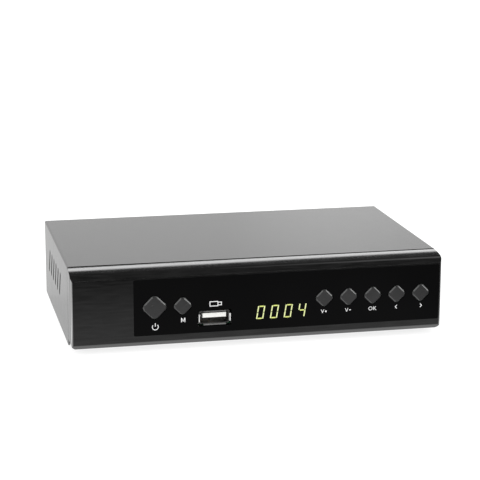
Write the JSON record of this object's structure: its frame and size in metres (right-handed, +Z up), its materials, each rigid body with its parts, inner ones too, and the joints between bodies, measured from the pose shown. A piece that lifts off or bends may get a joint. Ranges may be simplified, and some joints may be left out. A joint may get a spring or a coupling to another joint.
{
  "type": "terrestrial tv receiver",
  "caption": "Slim black set-top box for terrestrial television: gloss front window, corner-standing push keys, lit display, front memory-stick socket, rear aerial and picture sockets.",
  "frame": {"origin": "on the table, under the middle of the whole box, sockets and keys included", "axes": "+X to the right as seen from the front, +Y from the front to the rear, +Z up"},
  "size_m": [0.16, 0.1072, 0.0358],
  "materials": {
    "cover_paint": "gloss black paint",
    "tray_steel": "plain zinc-coated sheet",
    "panel_plastic": "black moulding with a fine hairline grain",
    "window_plastic": "smoked clear sheet, polished",
    "foot_rubber": "matt",
    "black_screws": "blackened steel",
    "bright_screws": "zinc plate",
    "board_laminate": "green solder mask",
    "switch_plastic": "matt",
    "display_plastic": "matt grey face",
    "sensor_plastic": "dark, clear to infrared",
    "header_plastic": "matt",
    "socket_steel": "nickel plate",
    "pale_plastic": "matt",
    "contact_brass": "gold flash",
    "can_steel": "tin plate",
    "socket_plating": "nickel plate",
    "core_plastic": "matt",
    "socket_plastic": "matt",
    "sound_plastic": "matt orange",
    "chip_plastic": "matt",
    "sink_aluminium": "mill finish",
    "capacitor_sleeve": "shrink sleeve",
    "coil_ferrite": "dull grey",
    "key_plastic": "satin",
    "plunger_plastic": "matt"
  },
  "bodies": {
    "housing": {"top_cover": "cover_paint", "base_tray": "tray_steel", "front_panel": "panel_plastic", "display_window": "window_plastic", "rubber_feet": "foot_rubber", "cover_screws": "black_screws", "board_screws": "bright_screws", "front_board_screws": "bright_screws", "link_pins_row": "bright_screws", "main_board": "board_laminate", "front_board": "board_laminate", "switch_cases": "switch_plastic", "display_module": "display_plastic", "remote_sensor": "sensor_plastic", "link_header": "header_plastic", "stick_socket_shell": "socket_steel", "video_socket_shell": "socket_steel", "stick_socket_core": "pale_plastic", "stick_socket_contacts": "contact_brass", "aerial_output_core": "contact_brass", "tuner_can": "can_steel", "crystal": "can_steel", "aerial_input": "socket_plating", "aerial_output": "socket_plating", "sound_socket_ring": "socket_plating", "power_inlet_pin": "socket_plating", "aerial_input_core": "core_plastic", "video_socket_core": "socket_plastic", "av_socket": "socket_plastic", "power_inlet": "socket_plastic", "sound_socket_body": "sound_plastic", "processor": "chip_plastic", "memory_chip": "chip_plastic", "flash_chip": "chip_plastic", "regulators": "chip_plastic", "heat_sink": "sink_aluminium", "storage_capacitors": "capacitor_sleeve", "coils": "coil_ferrite"},
    "power_key": {"power_key": "key_plastic", "power_plunger": "plunger_plastic"},
    "menu_key": {"menu_key": "key_plastic", "menu_plunger": "plunger_plastic"},
    "volume_up_key": {"volume_up_key": "key_plastic", "volume_up_plunger": "plunger_plastic"},
    "volume_down_key": {"volume_down_key": "key_plastic", "volume_down_plunger": "plunger_plastic"},
    "ok_key": {"ok_key": "key_plastic", "ok_plunger": "plunger_plastic"},
    "previous_key": {"previous_key": "key_plastic", "previous_plunger": "plunger_plastic"},
    "next_key": {"next_key": "key_plastic", "next_plunger": "plunger_plastic"}
  },
  "joints": [
    {"name": "power_press", "type": "slide", "parent": "housing", "child": "power_key", "axis": [0, 1, 0], "range_m": [0, 0.0005], "stiffness_N_per_m": 1500},
    {"name": "menu_press", "type": "slide", "parent": "housing", "child": "menu_key", "axis": [0, 1, 0], "range_m": [0, 0.0005], "stiffness_N_per_m": 1500},
    {"name": "volume_up_press", "type": "slide", "parent": "housing", "child": "volume_up_key", "axis": [0, 1, 0], "range_m": [0, 0.0005], "stiffness_N_per_m": 1500},
    {"name": "volume_down_press", "type": "slide", "parent": "housing", "child": "volume_down_key", "axis": [0, 1, 0], "range_m": [0, 0.0005], "stiffness_N_per_m": 1500},
    {"name": "ok_press", "type": "slide", "parent": "housing", "child": "ok_key", "axis": [0, 1, 0], "range_m": [0, 0.0005], "stiffness_N_per_m": 1500},
    {"name": "previous_press", "type": "slide", "parent": "housing", "child": "previous_key", "axis": [0, 1, 0], "range_m": [0, 0.0005], "stiffness_N_per_m": 1500},
    {"name": "next_press", "type": "slide", "parent": "housing", "child": "next_key", "axis": [0, 1, 0], "range_m": [0, 0.0005], "stiffness_N_per_m": 1500}
  ]
}
